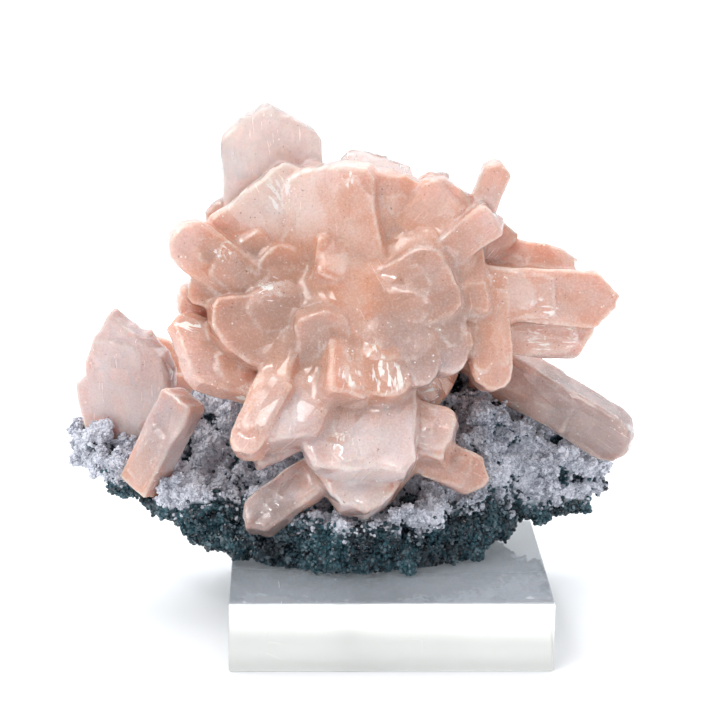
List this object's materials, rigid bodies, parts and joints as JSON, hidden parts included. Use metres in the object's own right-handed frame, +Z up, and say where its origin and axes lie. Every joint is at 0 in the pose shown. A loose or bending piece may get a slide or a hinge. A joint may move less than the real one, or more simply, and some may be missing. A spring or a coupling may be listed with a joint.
{
  "type": "stilbite specimen on a clear block",
  "caption": "Peach stilbite blades fanned out from a knobbly, druse-coated dark crust, standing on a square clear block.",
  "frame": {"origin": "centre of the clear block's underside", "axes": "+Z up, -Y towards the specimen's front, +X to the right as seen from the front"},
  "size_m": [0.1661, 0.0971, 0.1503],
  "materials": {
    "stilbite_peach": "vitreous to pearly",
    "stilbite_pale": "vitreous to pearly",
    "crust_druse": "rough, sparkling druse",
    "acrylic": "polished, clear"
  },
  "bodies": {
    "root": {"acrylic_block": "acrylic", "crust": "crust_druse", "stilbite_cluster": "stilbite_peach", "left_large_blade": "stilbite_pale", "left_front_blade": "stilbite_pale", "back_left_blade": "stilbite_pale", "back_right_blade": "stilbite_pale"}
  },
  "joints": []
}
